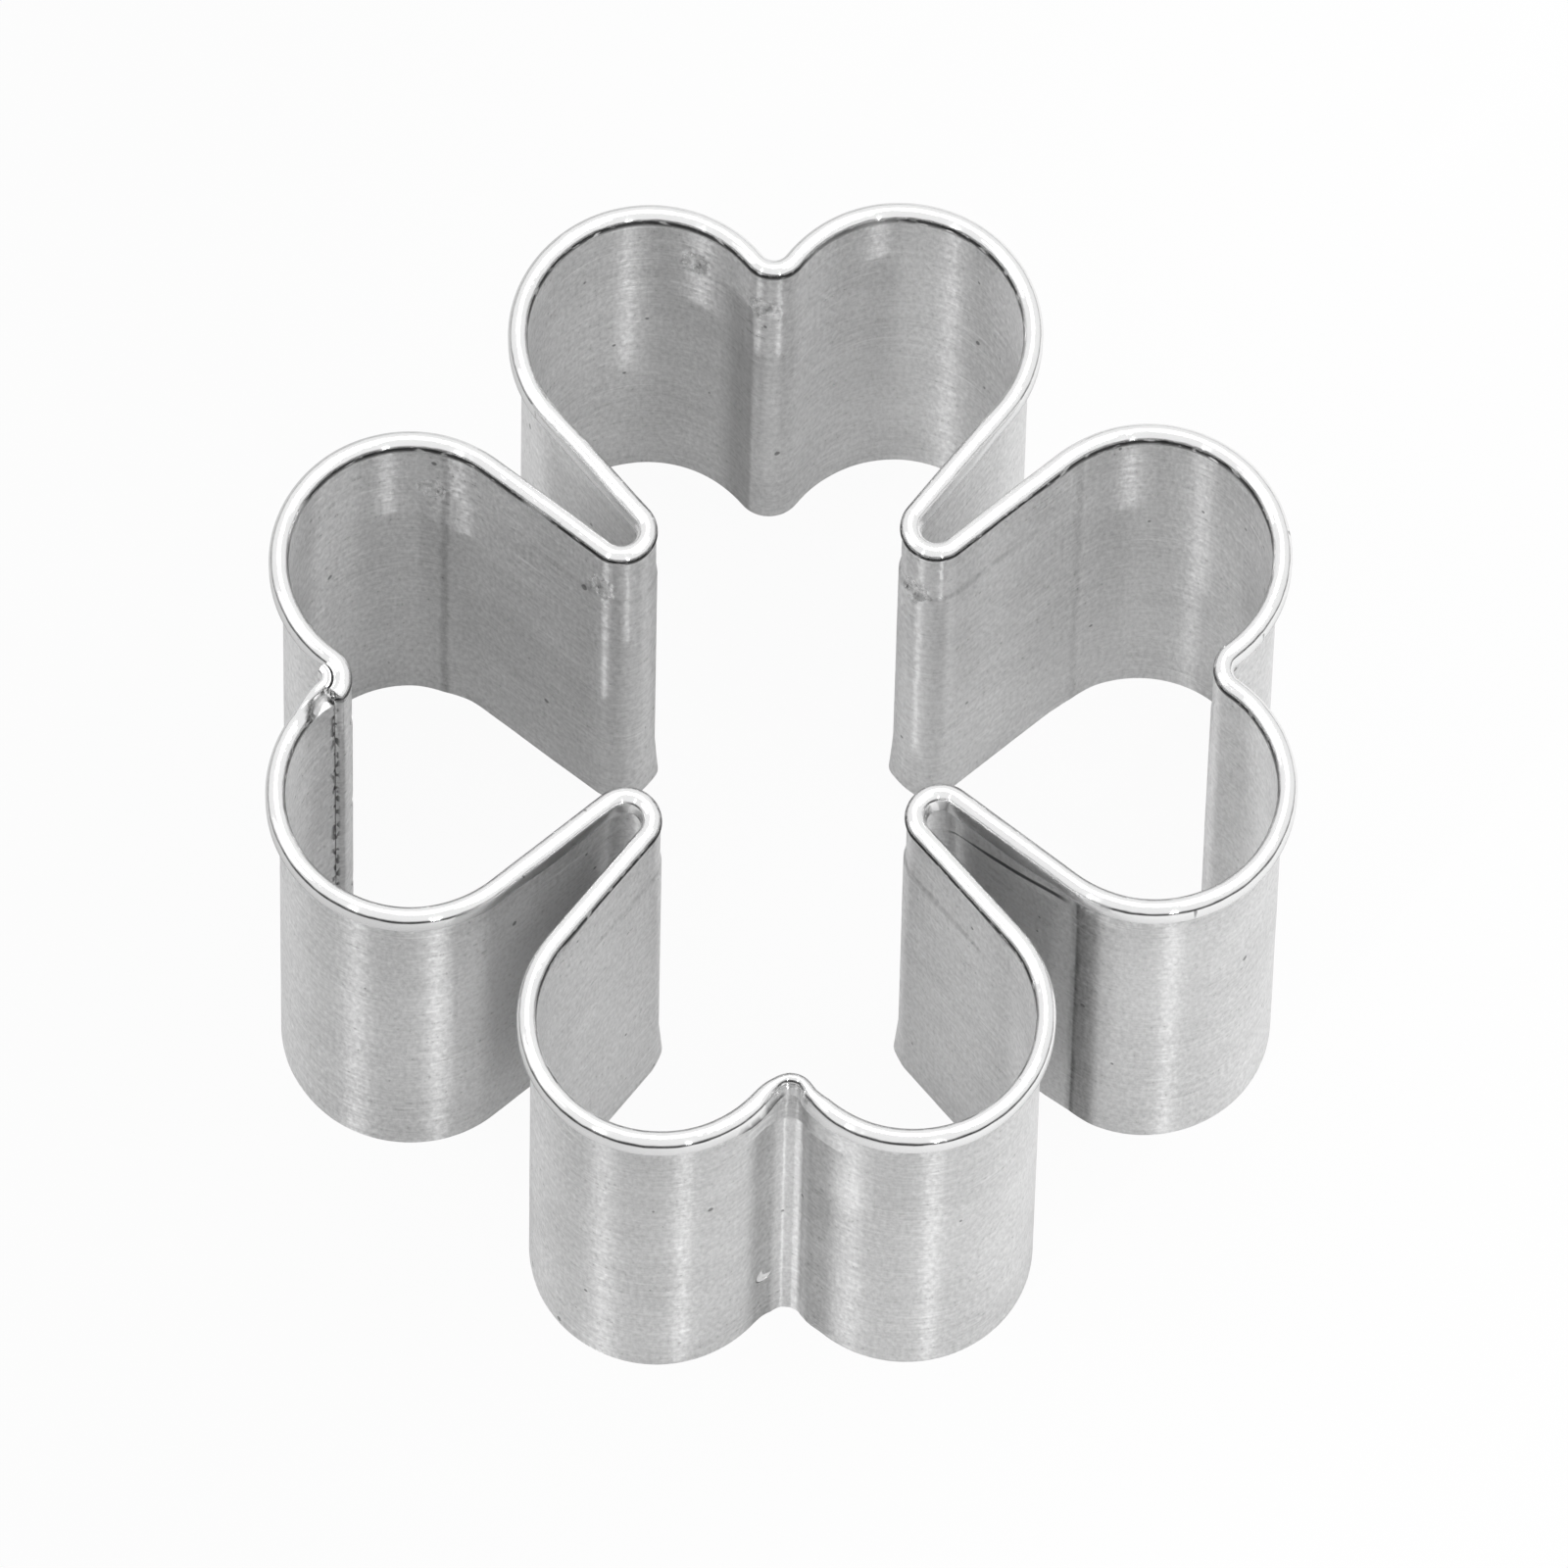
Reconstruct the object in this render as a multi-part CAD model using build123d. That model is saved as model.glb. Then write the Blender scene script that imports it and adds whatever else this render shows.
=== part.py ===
from build123d import *
import os
from math import atan2, cos, degrees, hypot, radians, sin, sqrt

# A small four-leaf-clover cookie cutter: one strip of thin steel stands on its
# edge and is bent into four hearts round an open middle. The upper edge is
# rolled outwards into a rim and the lower edge is the plain cutting edge. The
# two ends of the strip lap in the notch of the heart on the -X side, where
# three spot welds hold them. All sizes are millimetres. The origin is on the
# table in the middle of the clover, and +Z points up to the rolled rim.

# Strip
band_height = 25.0
sheet = 0.25
rim_width = 0.82
rim_slot = 0.05

# Clover, along the middle of the sheet where nothing else is said
lobe_radius = 5.2
notch_depth = 2.55
flank_length = 5.95
tip_reach = 9.15
hearts = 4

# Smallest radius that stays open beside the rims: in the lapped notch, and at the tips
notch_throat = 0.45
tip_throat = 0.66

# Seam
lap_gap = 0.04
weld_diameter = 1.0
weld_dent = 0.03
weld_from_edge = 4.0
weld_names = ("lower", "middle", "upper")

# Rolled rim, measured outwards from the middle of the sheet and up from the cutting edge
curl_radius = rim_width / 2
curl_out = curl_radius - sheet / 2
curl_height = band_height - curl_radius
rim_reach = rim_width - sheet / 2

# In the lap, the two layers lie half a step to either side of the notch's own line
lap_step = sheet + lap_gap
notch_radius = notch_throat + rim_reach + lap_step / 2
inner_layer_radius = notch_radius + lap_step / 2
outer_layer_radius = notch_radius - lap_step / 2
tip_radius = tip_throat + rim_reach

# One heart points along +Y: its lobes are at +-X and its flanks end at the tips on the diagonals
lobe_to_notch = lobe_radius + notch_radius
notch_above_lobe = lobe_to_notch - notch_depth
lobe_x = sqrt(lobe_to_notch**2 - notch_above_lobe**2)
tip_x = tip_reach / sqrt(2)
tip_y = tip_x
lobe_to_tip = hypot(flank_length, lobe_radius + tip_radius)
lobe_y = tip_y + sqrt(lobe_to_tip**2 - (tip_x - lobe_x) ** 2)
notch_y = lobe_y + notch_above_lobe
half_notch = degrees(atan2(lobe_x, notch_above_lobe))

heart_step = 360 / hearts
tip_diagonal = 90 - heart_step / 2
seam_heart = 90


def strip_profile():
    """Section of the strip: the wall with its rim rolled outwards, x outwards and y up."""
    curl = Circle(curl_radius) - Circle(curl_radius - sheet)
    behind_curl = Rectangle(rim_width, rim_width, align=(Align.MAX, Align.MAX))
    slot_side = sheet / 2 + rim_slot
    open_curl = Pos(curl_out, curl_height) * curl - Pos(slot_side, curl_height) * behind_curl
    wall = Rectangle(sheet, curl_height, align=(Align.CENTER, Align.MIN))
    return open_curl + wall


def lapped_profile():
    """Section of the outer end, from the middle of the inner layer: it passes under and round its rim."""
    clear_radius = curl_radius + lap_gap
    outer_radius = clear_radius + sheet
    ring = Pos(curl_out, curl_height) * (Circle(outer_radius) - Circle(clear_radius))
    below_rim = Rectangle(outer_radius * 2, outer_radius, align=(Align.MIN, Align.MAX))
    joggle = ring & Pos(lap_step - sheet / 2, curl_height) * below_rim
    wall_height = curl_height - clear_radius
    wall = Pos(lap_step) * Rectangle(sheet, wall_height, align=(Align.CENTER, Align.MIN))
    flange = Rectangle(sheet, curl_radius, align=(Align.MIN, Align.MIN))
    return wall + joggle + Pos(curl_out + clear_radius, curl_height) * flange


def bent_outwards(profile, centre, radius, start, turn):
    """A bend whose middle is inside the cutter, as in a lobe."""
    section = Plane.XZ * (Pos(radius) * profile)
    return Pos(*centre) * Rot(0, 0, start) * revolve(section, Axis.Z, turn)


def bent_inwards(profile, centre, radius, start, turn):
    """A bend whose middle is outside the cutter, as in a notch."""
    section = Plane.XZ * (Pos(radius) * mirror(profile, Plane.YZ))
    return Pos(*centre) * Rot(0, 0, start) * revolve(section, Axis.Z, turn)


def half_heart(growth=0):
    """The half on the +X side: lobe, straight flank and half of the bend at the tip.

    A lobe that grows also moves towards the notch by as much, and the notch's bend then
    meets it with a radius that is smaller by twice the growth.
    """
    radius = lobe_radius + growth
    x = lobe_x - growth * lobe_x / lobe_to_notch
    y = lobe_y + growth * notch_above_lobe / lobe_to_notch
    lobe_start = 90 + half_notch
    towards_tip = degrees(atan2(tip_y - y, tip_x - x))
    length = sqrt((tip_x - x) ** 2 + (tip_y - y) ** 2 - (radius + tip_radius) ** 2)
    heading = towards_tip - degrees(atan2(radius + tip_radius, length))
    lobe_end = heading + 90
    lobe = bent_outwards(strip_profile(), (x, y), radius, lobe_end, lobe_start - lobe_end)

    outwards = Vector(cos(radians(lobe_end)), sin(radians(lobe_end)))
    along = Vector(cos(radians(heading)), sin(radians(heading)))
    flank_start = Vector(x, y) + outwards * radius
    flank = extrude(Plane(flank_start, x_dir=outwards, z_dir=along) * strip_profile(), length)

    tip_start = lobe_end + 180
    tip = bent_inwards(
        strip_profile(), (tip_x, tip_y), tip_radius, tip_start, tip_diagonal + 180 - tip_start
    )
    return lobe + flank + tip


def notch_bend(profile, radius, short=0):
    """The bend between the lobes, ended short of the -X lobe by an angle."""
    start = 270 - half_notch + short
    return bent_inwards(profile, (0, notch_y), radius, start, half_notch * 2 - short)


def whole_heart():
    """A heart that the strip passes through without a break."""
    right = half_heart()
    return right + mirror(right, Plane.YZ) + notch_bend(strip_profile(), notch_radius)


def lapped_heart():
    """The heart where the ends of the strip lap, with the outer end on the -X lobe's side."""
    inner_side = half_heart(-lap_step / 4)
    outer_side = mirror(half_heart(lap_step / 4), Plane.YZ)
    end_clearance = degrees(lap_gap / (inner_layer_radius - rim_reach))
    inner_end = notch_bend(strip_profile(), inner_layer_radius, end_clearance)
    outer_end = notch_bend(lapped_profile(), inner_layer_radius)
    return (inner_side + inner_end) + (outer_side + outer_end)


def weld_site(height):
    """Round rod through both layers of the lap, from the middle of the notch inwards."""
    past_the_lap = inner_layer_radius + sheet
    rod = Cylinder(weld_diameter / 2, past_the_lap, align=(Align.CENTER, Align.CENTER, Align.MIN))
    return Pos(0, notch_y, height) * Rot(90, 0, 0) * rod


def weld_nugget(height):
    """Fused metal of one weld, dented a little below both faces of the lap."""
    inner_face = inner_layer_radius + sheet / 2 - weld_dent
    outer_face = outer_layer_radius - sheet / 2 + weld_dent
    layers = Cylinder(inner_face, weld_diameter * 2) - Cylinder(outer_face, weld_diameter * 2)
    return weld_site(height) & Pos(0, notch_y, height) * layers


def weld_heights():
    """Heights of the welds, evenly spaced between the two that stand in from the edges."""
    spacing = (band_height - weld_from_edge * 2) / (len(weld_names) - 1)
    return [weld_from_edge + spacing * step for step in range(len(weld_names))]


def cutter_band():
    """The whole strip, with a hole through both layers at each weld."""
    band = Rot(0, 0, seam_heart) * lapped_heart()
    for step in range(hearts):
        if step * heart_step != seam_heart:
            band += Rot(0, 0, step * heart_step) * whole_heart()
    for height in weld_heights():
        band -= Rot(0, 0, seam_heart) * weld_site(height)
    return band


os.makedirs("parts", exist_ok=True)
export_step(cutter_band(), "parts/cutter_band.step")
for name, height in zip(weld_names, weld_heights()):
    weld = Rot(0, 0, seam_heart) * weld_nugget(height)
    export_step(weld, f"parts/spot_weld_{name}.step")
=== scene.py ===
import math
import bmesh
import bpy
from mathutils import Matrix, Vector, noise

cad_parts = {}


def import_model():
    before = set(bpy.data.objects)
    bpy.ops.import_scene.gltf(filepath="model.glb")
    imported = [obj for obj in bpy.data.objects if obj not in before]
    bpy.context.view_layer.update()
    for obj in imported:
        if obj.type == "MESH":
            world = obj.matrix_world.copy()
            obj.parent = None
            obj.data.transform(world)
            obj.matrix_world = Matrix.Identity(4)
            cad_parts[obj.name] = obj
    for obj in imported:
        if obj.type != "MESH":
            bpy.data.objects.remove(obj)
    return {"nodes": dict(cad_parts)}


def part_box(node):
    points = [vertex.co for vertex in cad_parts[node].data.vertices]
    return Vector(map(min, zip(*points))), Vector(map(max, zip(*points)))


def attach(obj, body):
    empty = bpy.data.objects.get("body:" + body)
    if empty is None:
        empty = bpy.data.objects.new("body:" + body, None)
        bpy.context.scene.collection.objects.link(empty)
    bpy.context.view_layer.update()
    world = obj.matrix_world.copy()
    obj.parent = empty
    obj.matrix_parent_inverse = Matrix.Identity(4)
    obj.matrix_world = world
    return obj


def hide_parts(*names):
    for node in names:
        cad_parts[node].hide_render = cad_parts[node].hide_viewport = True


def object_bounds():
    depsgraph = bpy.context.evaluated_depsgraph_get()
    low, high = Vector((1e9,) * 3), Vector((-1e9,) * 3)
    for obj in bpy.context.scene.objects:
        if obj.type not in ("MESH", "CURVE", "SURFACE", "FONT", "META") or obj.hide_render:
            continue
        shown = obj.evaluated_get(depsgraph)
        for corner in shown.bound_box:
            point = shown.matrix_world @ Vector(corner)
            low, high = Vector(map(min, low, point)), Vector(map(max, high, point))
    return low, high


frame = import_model()
cad_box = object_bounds()
MM = 0.001

# Strip, as in the CAD model
BAND_HEIGHT = cad_box[1].z - cad_box[0].z
SHEET = 0.25 * MM
RIM_WIDTH = 0.82 * MM
RIM_SLOT = 0.05 * MM
LAP_GAP = 0.04 * MM

# Clover, along the middle of the sheet
LOBE_RADIUS = 5.2 * MM
NOTCH_DEPTH = 2.55 * MM
FLANK_LENGTH = 5.95 * MM
TIP_REACH = 9.15 * MM
NOTCH_THROAT = 0.45 * MM
TIP_THROAT = 0.66 * MM
HEARTS = 4

CURL_RADIUS = RIM_WIDTH / 2
CURL_OUT = CURL_RADIUS - SHEET / 2
CURL_HEIGHT = BAND_HEIGHT - CURL_RADIUS
RIM_REACH = RIM_WIDTH - SHEET / 2
LAP_STEP = SHEET + LAP_GAP
NOTCH_RADIUS = NOTCH_THROAT + RIM_REACH + LAP_STEP / 2
TIP_RADIUS = TIP_THROAT + RIM_REACH

# One heart points along +Y; the others are the same heart turned
LOBE_TO_NOTCH = LOBE_RADIUS + NOTCH_RADIUS
NOTCH_ABOVE_LOBE = LOBE_TO_NOTCH - NOTCH_DEPTH
LOBE_X = math.sqrt(LOBE_TO_NOTCH**2 - NOTCH_ABOVE_LOBE**2)
TIP_X = TIP_REACH / math.sqrt(2)
LOBE_TO_TIP = math.hypot(FLANK_LENGTH, LOBE_RADIUS + TIP_RADIUS)
LOBE_Y = TIP_X + math.sqrt(LOBE_TO_TIP**2 - (TIP_X - LOBE_X) ** 2)
NOTCH_Y = LOBE_Y + NOTCH_ABOVE_LOBE
HALF_NOTCH = math.atan2(LOBE_X, NOTCH_ABOVE_LOBE)
RIGHT_ANGLE = math.pi / 2
TIP_DIAGONAL = math.radians(45)
SEAM_HEART = RIGHT_ANGLE

# Mesh fineness
ARC_STEP = 0.22 * MM
TURN_STEP = math.radians(5)
FLANK_STEP = 0.22 * MM
LAP_FINENESS = 4
CURL_STEPS = 24
HOLLOW_STEPS = 14
MIN_ARC_STEPS = 3
EDGE_BEVEL = 0.03 * MM
SHARP_ANGLE = math.radians(35)
HOLE_SEGMENTS = 48
DRILL_LENGTH = 8 * SHEET

# Seam: the outer end's rim is pressed flat into a hem that stands up beside the inner end's rim
HEM_WIDTH = 0.46 * MM
HEM_LEAF = 0.19 * MM
HEM_DROP = 0.62 * MM
HEM_EASE = 1.9 * MM
END_EASE = 0.5 * MM
END_CLOSING = 0.8 * LAP_GAP
END_CRIMP = 0.3 * MM
CRIMP_SHARE = 0.55
END_TAPER = 0.21 * MM
END_TAPER_LENGTH = 0.30 * MM
SEAM_BAND = (0.05 * MM, 0.17 * MM)

# Step left by the forming tools, which gripped the strip above one height. The shares say how much
# of it shows at each tip and notch, clockwise from the seam
PRESS_HEIGHT = 20.6 * MM
PRESS_STEP = 0.45 * MM
PRESS_DEPTH = 0.10 * MM
TIP_PRESS = (5.0 * MM, 7.5 * MM)
NOTCH_PRESS = (2.2 * MM, 3.4 * MM)
TIP_SHARES = (0.6, 1.0, 1.0, 0.6)
NOTCH_SHARES = (0.3, 0.2, 0.3, 1.0, 0.3)

# Corners of the tips' bends, flared at the cutting edge
NOSE_CORNER = 0.9 * MM
NOSE_WIDTH = 0.4 * MM
NOSE_FLARE = 0.16 * MM
NOSE_TOP = 2.4 * MM

# Distances along the strip of the marks that show in the photograph
CREASES = (16.9 * MM, 86.5 * MM, 121.2 * MM)
CREASE_REACH = 1.2 * MM
CREASE_DEPTH = 0.08 * MM
FRONT_NOTCH = 154.6 * MM
PINCH_SPAN = (0.4 * MM, 2.4 * MM)
PINCH_SHARE = 0.5
PINCH_SLOPE = 0.45
NOTCH_CLOSING = 0.10 * MM
NOTCH_SHOULDER = 1.0 * MM
SHOULDER_REACH = 0.9 * MM
RIDGES = (153.9 * MM, 154.4 * MM, 154.75 * MM, 155.5 * MM)
RIDGE_WIDTH = 0.13 * MM
RIDGE_DEPTH = 0.022 * MM

# Painted shade: a dark line low on the roll's outer side, beside the front notch
FOLD_LINE = 156.5 * MM
FOLD_REACH = (1.1 * MM, 1.6 * MM)
FOLD_FROM = 0.60

# Unevenness of a strip bent by hand-fed tools. A stretch is how much longer it is up the strip
WAVE_LENGTH = 3.4 * MM
WAVE_DEPTH = 0.035 * MM
WAVE_STRETCH = 8
RIPPLE_LENGTH = 1.1 * MM
RIPPLE_DEPTH = 0.006 * MM
RIPPLE_STRETCH = 3
RIM_WEAR = 0.03 * MM
BURR = 0.05 * MM
BURR_LENGTH = 0.5 * MM
SEED = 7.0
SEED_STEP = 10
WAVES, RIPPLES, WEAR, BURRS = range(4)

# The roll hangs down on its outer side, except in the lap
ROLL_HANG = 0.50 * MM
HANG_EASE = 0.05 * MM
HANG_FROM = 2.6 * MM
HANG_RISE = 1.2 * MM

# Where the material's marks lie: the rim, painted shade in the crevice beside it, which the front
# walls lack, and the tools' step, with its line of painted shade
RIM_BLEND = 0.18 * MM
CREVICE_FACING = 0.6
CREVICE_DROP = 0.36 * MM
CREVICE_BAND = (0.11 * MM, 0.19 * MM)
STEP_LINE = (0.04 * MM, 0.22 * MM)


def ease(share):
    share = min(1, max(0, share))
    return share * share * (3 - 2 * share)


def fade(value, near, far):
    """1 nearer than near, 0 beyond far."""
    return 1 - ease((value - near) / (far - near))


def wander(along, up, length, channel):
    """Smooth noise from -1 to 1 along the strip."""
    return noise.noise(Vector((along / length, up / length, SEED + SEED_STEP * channel)))


def swell(along, up, length, channel):
    """The same noise from 0 to 1."""
    return 0.5 + 0.5 * wander(along, up, length, channel)


def arc_points(centre, radius, start, end, inwards, fineness=1):
    """Points and outward normals along an arc. A bend that goes inwards has its middle outside."""
    turn = min(TURN_STEP, ARC_STEP / radius)
    steps = max(MIN_ARC_STEPS, math.ceil(abs(end - start) / turn * fineness))
    side = -1 if inwards else 1
    found = []
    for step in range(steps + 1):
        angle = start + (end - start) * step / steps
        ray = Vector((math.cos(angle), math.sin(angle), 0))
        found.append((centre + ray * radius, ray * side))
    return found


def half_heart(growth=0.0):
    """Points from the notch bend's end to the tip's diagonal, for the half on the +X side."""
    radius = LOBE_RADIUS + growth
    x = LOBE_X - growth * LOBE_X / LOBE_TO_NOTCH
    y = LOBE_Y + growth * NOTCH_ABOVE_LOBE / LOBE_TO_NOTCH
    towards_tip = math.atan2(TIP_X - y, TIP_X - x)
    length = math.sqrt((TIP_X - x) ** 2 + (TIP_X - y) ** 2 - (radius + TIP_RADIUS) ** 2)
    heading = towards_tip - math.atan2(radius + TIP_RADIUS, length)
    lobe_end = heading + RIGHT_ANGLE
    lobe_start = RIGHT_ANGLE + HALF_NOTCH
    lobe = arc_points(Vector((x, y, 0)), radius, lobe_start, lobe_end, inwards=False)

    start, normal = lobe[-1]
    along = Vector((math.cos(heading), math.sin(heading), 0))
    steps = math.ceil(length / FLANK_STEP)
    flank = [(start + along * length * step / steps, normal) for step in range(1, steps)]

    tip_centre = Vector((TIP_X, TIP_X, 0))
    tip_start, tip_end = lobe_end + math.pi, TIP_DIAGONAL + math.pi
    tip = arc_points(tip_centre, TIP_RADIUS, tip_start, tip_end, inwards=True)
    return lobe + flank + tip


def notch_bend(radius, short=0.0, fineness=1):
    """Points of the bend between the lobes, clockwise, ended short of the -X lobe by an angle."""
    middle = Vector((0, NOTCH_Y, 0))
    start = 3 * RIGHT_ANGLE - HALF_NOTCH + short
    end = 3 * RIGHT_ANGLE + HALF_NOTCH
    return arc_points(middle, radius, start, end, inwards=True, fineness=fineness)


def mirrored(points):
    """The same points on the other side of the heart, in the order that goes round clockwise."""
    flip = Vector((-1, 1, 1))
    return [(place * flip, normal * flip) for place, normal in reversed(points)]


def turned(points, angle):
    spin = Matrix.Rotation(angle, 3, "Z")
    return [(spin @ place, spin @ normal) for place, normal in points]


class Strip:
    """The strip's middle line, clockwise from its inner end round to its outer end."""

    def __init__(self):
        inner_radius = NOTCH_RADIUS + LAP_STEP / 2
        outer_radius = NOTCH_RADIUS - LAP_STEP / 2
        end_clearance = LAP_GAP / (inner_radius - RIM_REACH)
        inner_end = notch_bend(inner_radius, end_clearance, LAP_FINENESS)
        line = turned(inner_end + half_heart(-LAP_STEP / 4)[1:], SEAM_HEART)
        tips, notches = [len(line) - 1], [0]
        for heart in range(HEARTS - 1):
            spin = SEAM_HEART - (heart + 1) * math.tau / HEARTS
            lead_in = mirrored(half_heart())[1:]
            bend = notch_bend(NOTCH_RADIUS)[1:]
            notches.append(len(line) + len(lead_in) + len(bend) // 2)
            line += turned(lead_in + bend + half_heart()[1:], spin)
            tips.append(len(line) - 1)
        line += turned(mirrored(half_heart(LAP_STEP / 4))[1:], SEAM_HEART)
        lap_start = len(line) - 1
        line += turned(notch_bend(outer_radius, 0.0, LAP_FINENESS)[1:], SEAM_HEART)

        self.line = line
        self.distances = [0.0]
        for (a, _), (b, _) in zip(line, line[1:]):
            self.distances.append(self.distances[-1] + (b - a).length)
        self.length = self.distances[-1]
        self.lap_start = self.distances[lap_start]
        self.tips = [self.distances[index] for index in tips]
        self.notches = [self.distances[index] for index in notches] + [self.length]

    def press(self, along):
        """How much of the tool's step shows at a distance along the strip."""
        places = [(tip, share, TIP_PRESS) for tip, share in zip(self.tips, TIP_SHARES)]
        places += [(notch, share, NOTCH_PRESS) for notch, share in zip(self.notches, NOTCH_SHARES)]
        return max(share * fade(abs(along - middle), *reach) for middle, share, reach in places)

    def opening(self, along):
        """0 where the rim is rolled, 1 where it is pressed into the hem."""
        return ease(1 - (self.lap_start - along) / HEM_EASE)

    def nose(self, along, up):
        """How far the corners of a tip's bend flare at the foot."""
        from_tip = min(abs(along - tip) for tip in self.tips)
        off_corner = (from_tip - NOSE_CORNER) / NOSE_WIDTH
        return NOSE_FLARE * math.exp(-(off_corner**2)) * fade(up, 0, NOSE_TOP)


def crease(along):
    """A sharp bend line, deepest at the edge of the tool that bent the lobe."""
    nearest = min(abs(along - middle) for middle in CREASES)
    return CREASE_DEPTH * max(0, 1 - nearest / CREASE_REACH)


def ridges(along):
    """Upright ridges that the punch left in the front notch."""
    offs = [(along - middle) / RIDGE_WIDTH for middle in RIDGES]
    return RIDGE_DEPTH * sum(math.exp(-(off**2)) for off in offs)


def pinched(point, amount):
    """The front notch's rim: its outer half is pressed in and down into a slope."""
    past_sheet = max(0, point.x - SHEET / 2)
    kept = past_sheet * (1 - PINCH_SHARE * amount)
    return Vector((point.x - past_sheet + kept, point.y - kept * PINCH_SLOPE * amount))


def spread(corners, steps):
    """Points at even distances along a line of corners."""
    lengths = [(b - a).length for a, b in zip(corners, corners[1:])]
    found = []
    for step in range(steps + 1):
        left = sum(lengths) * step / steps
        for a, b, length in zip(corners, corners[1:], lengths):
            if left <= length or b is corners[-1]:
                found.append(a.lerp(b, min(1, left / length)))
                break
            left -= length
    return found


def arc_corners(middle, radius, start, end, steps=32):
    found = []
    for step in range(steps + 1):
        angle = start + (end - start) * step / steps
        found.append(middle + Vector((math.cos(angle), math.sin(angle))) * radius)
    return found


LOW_LEVELS = [0.0, 0.04, 0.14, 0.28, 0.42, 0.56, 0.70, 0.80]
PRESS_LEVELS = [-0.9, -0.5, -0.25, 0.0, 0.25, 0.5, 0.9]
HIGH_LEVELS = [0.15, 0.35, 0.55, 0.72, 0.85, 0.93, 1.0]


def wall_heights(top):
    """Heights up a wall, closest together at the tools' step and under the rim."""
    low = [EDGE_BEVEL + PRESS_HEIGHT * share for share in LOW_LEVELS]
    step = [PRESS_HEIGHT + PRESS_STEP * share for share in PRESS_LEVELS]
    return low + step + [step[-1] + (top - step[-1]) * share for share in HIGH_LEVELS]


WALL_LEVELS = len(LOW_LEVELS) + len(PRESS_LEVELS) + len(HIGH_LEVELS)


def section(inner_top, over_rim, under_rim, outer_top):
    """Closed section of the strip: up from the inner foot, over the rim and down to the outer."""
    half = SHEET / 2
    inside = [Vector((-half, height)) for height in wall_heights(inner_top)]
    outside = [Vector((half, height)) for height in reversed(wall_heights(outer_top))]
    foot = [Vector((half - EDGE_BEVEL, 0)), Vector((EDGE_BEVEL - half, 0))]
    return inside + over_rim[1:] + under_rim[:-1] + outside + foot


def rolled_section():
    """The wall with its rim rolled outwards into a tube."""
    middle = Vector((CURL_OUT, CURL_HEIGHT))
    slot = SHEET / 2 + RIM_SLOT - CURL_OUT
    outer_end = -math.acos(slot / CURL_RADIUS)
    inner_end = -math.acos(slot / (CURL_RADIUS - SHEET))
    over = arc_corners(middle, CURL_RADIUS, math.pi, outer_end, CURL_STEPS)
    under = arc_corners(middle, CURL_RADIUS - SHEET, inner_end, math.pi, HOLLOW_STEPS)
    over, under = spread(over, CURL_STEPS), spread(under, HOLLOW_STEPS)
    return section(CURL_HEIGHT, over, under, CURL_HEIGHT)


def hemmed_section():
    """The outer end in the lap, stepping out under the inner end's rim into a flat fold."""
    middle = Vector((CURL_OUT - LAP_STEP, CURL_HEIGHT))
    clear = CURL_RADIUS + LAP_GAP
    far = clear + SHEET
    half = SHEET / 2
    inner_start = -math.acos((-half - middle.x) / clear)
    outer_start = -math.acos((half - middle.x) / far)
    inner_top = middle.y + math.sin(inner_start) * clear
    outer_top = middle.y + math.sin(outer_start) * far
    face = middle.x + clear
    fold = Vector((face + HEM_WIDTH / 2, BAND_HEIGHT - HEM_WIDTH / 2))
    leaf = face + HEM_WIDTH - HEM_LEAF
    foot = BAND_HEIGHT - HEM_DROP
    over = arc_corners(middle, clear, inner_start, 0) + arc_corners(fold, HEM_WIDTH / 2, math.pi, 0)
    over += [Vector((face + HEM_WIDTH, foot))]
    under = [Vector((leaf, foot)), Vector((leaf, fold.y)), Vector((face + SHEET, fold.y))]
    under += arc_corners(middle, far, 0, outer_start)
    return section(inner_top, spread(over, CURL_STEPS), spread(under, HOLLOW_STEPS), outer_top)


def uneven(strip, along, point):
    """How far a point of the section is off the plain shape, outwards and upwards."""
    out, up = point
    below_rim = fade(up, CURL_HEIGHT - RIM_BLEND, CURL_HEIGHT)
    above_step = ease((up - PRESS_HEIGHT) / PRESS_STEP + 0.5)
    pressed = strip.press(along) * PRESS_DEPTH * above_step * below_rim
    bent = (ridges(along) - crease(along)) * (1 - above_step) - strip.nose(along, up)
    wave = WAVE_DEPTH * swell(along, up / WAVE_STRETCH, WAVE_LENGTH, WAVES)
    ripple = RIPPLE_DEPTH * (1 - wander(along, up / RIPPLE_STRETCH, RIPPLE_LENGTH, RIPPLES))
    wear = RIM_WEAR * swell(along, 0, WAVE_LENGTH, WEAR) * ease((up - CURL_HEIGHT) / CURL_RADIUS)
    return pressed + bent - wave - ripple, -wear


ROLL_END = WALL_LEVELS + CURL_STEPS - 1
HOLLOW_END = ROLL_END + HOLLOW_STEPS


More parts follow.
